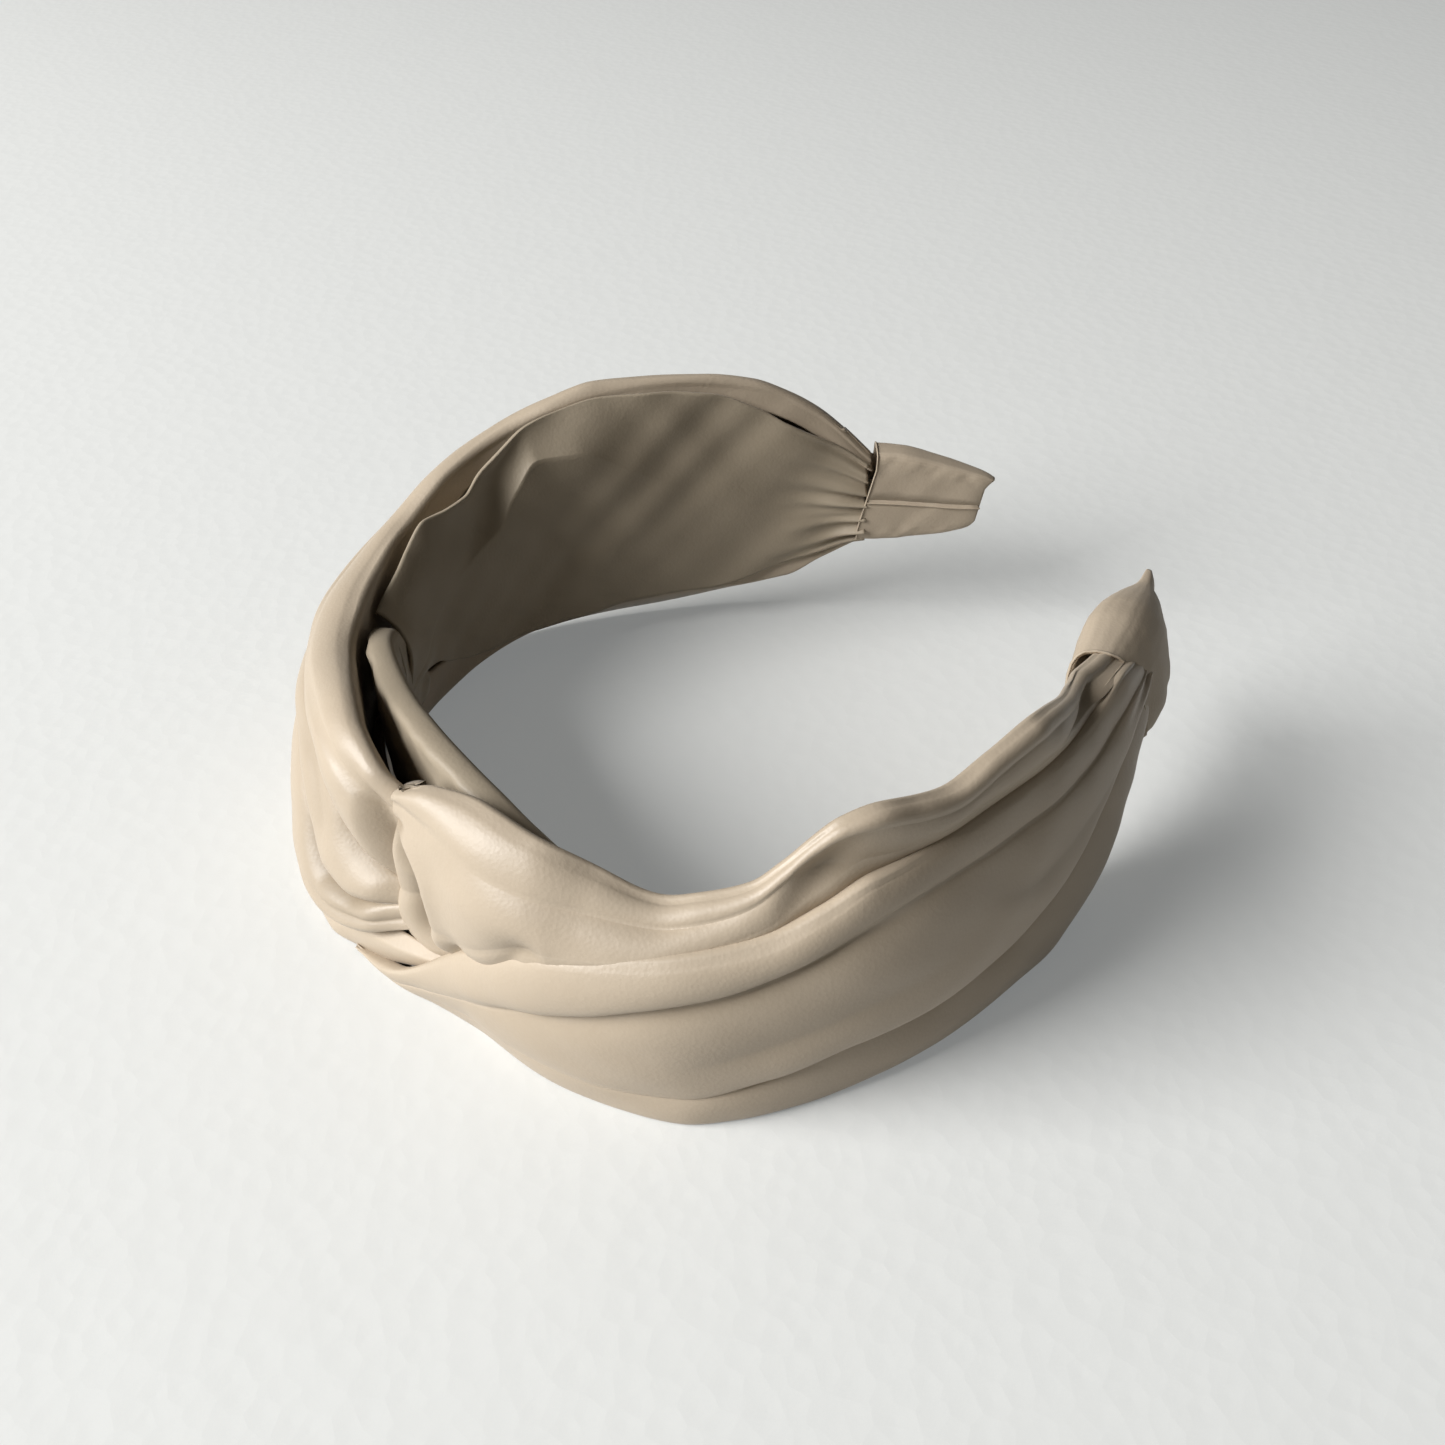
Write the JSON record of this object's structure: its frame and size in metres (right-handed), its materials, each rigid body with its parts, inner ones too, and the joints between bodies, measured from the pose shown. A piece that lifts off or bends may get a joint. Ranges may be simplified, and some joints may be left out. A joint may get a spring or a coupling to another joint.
{
  "type": "knotted headband",
  "caption": "Wide springy headband in soft faux leather, with a twisted knot at the crown and slim sleeved tips, lying on its edge.",
  "frame": {"origin": "middle of the headband's box, on the surface that its lower edge rests on", "axes": "+X from the knot at the crown towards the gap between the tips, +Y towards the left arm, +Z across the band"},
  "size_m": [0.162, 0.142, 0.057],
  "materials": {
    "wrap_leather": "smooth faux leather, soft sheen",
    "facing_leather": "smooth faux leather, soft sheen",
    "sleeve_leather": "smooth faux leather, soft sheen",
    "core_plastic": "moulded, hidden"
  },
  "bodies": {
    "crown": {"hoop_crown": "core_plastic", "crown_inner_strip": "facing_leather", "crown_outer_strip": "facing_leather", "left_knot_loop": "wrap_leather", "right_knot_loop": "wrap_leather", "right_knot_lower_band": "wrap_leather"},
    "left_arm": {"hoop_left_arm": "core_plastic", "left_inner_facing": "facing_leather", "left_wrap_upper_limb": "wrap_leather", "left_wrap_lower_limb": "wrap_leather", "left_tip_sleeve": "sleeve_leather"},
    "right_arm": {"hoop_right_arm": "core_plastic", "right_inner_facing": "facing_leather", "right_wrap_upper_limb": "wrap_leather", "right_wrap_lower_limb": "wrap_leather", "right_tip_sleeve": "sleeve_leather"}
  },
  "joints": [
    {"name": "left_arm_flex", "type": "hinge", "parent": "crown", "child": "left_arm", "pos_m": [-0.05315, 0.03695, 0.0285], "axis": [0, 0, 1], "range_deg": [0, 12], "stiffness_Nm_per_rad": 0.8},
    {"name": "right_arm_flex", "type": "hinge", "parent": "crown", "child": "right_arm", "pos_m": [-0.05315, -0.03695, 0.0285], "axis": [0, 0, -1], "range_deg": [0, 12], "stiffness_Nm_per_rad": 0.8}
  ]
}
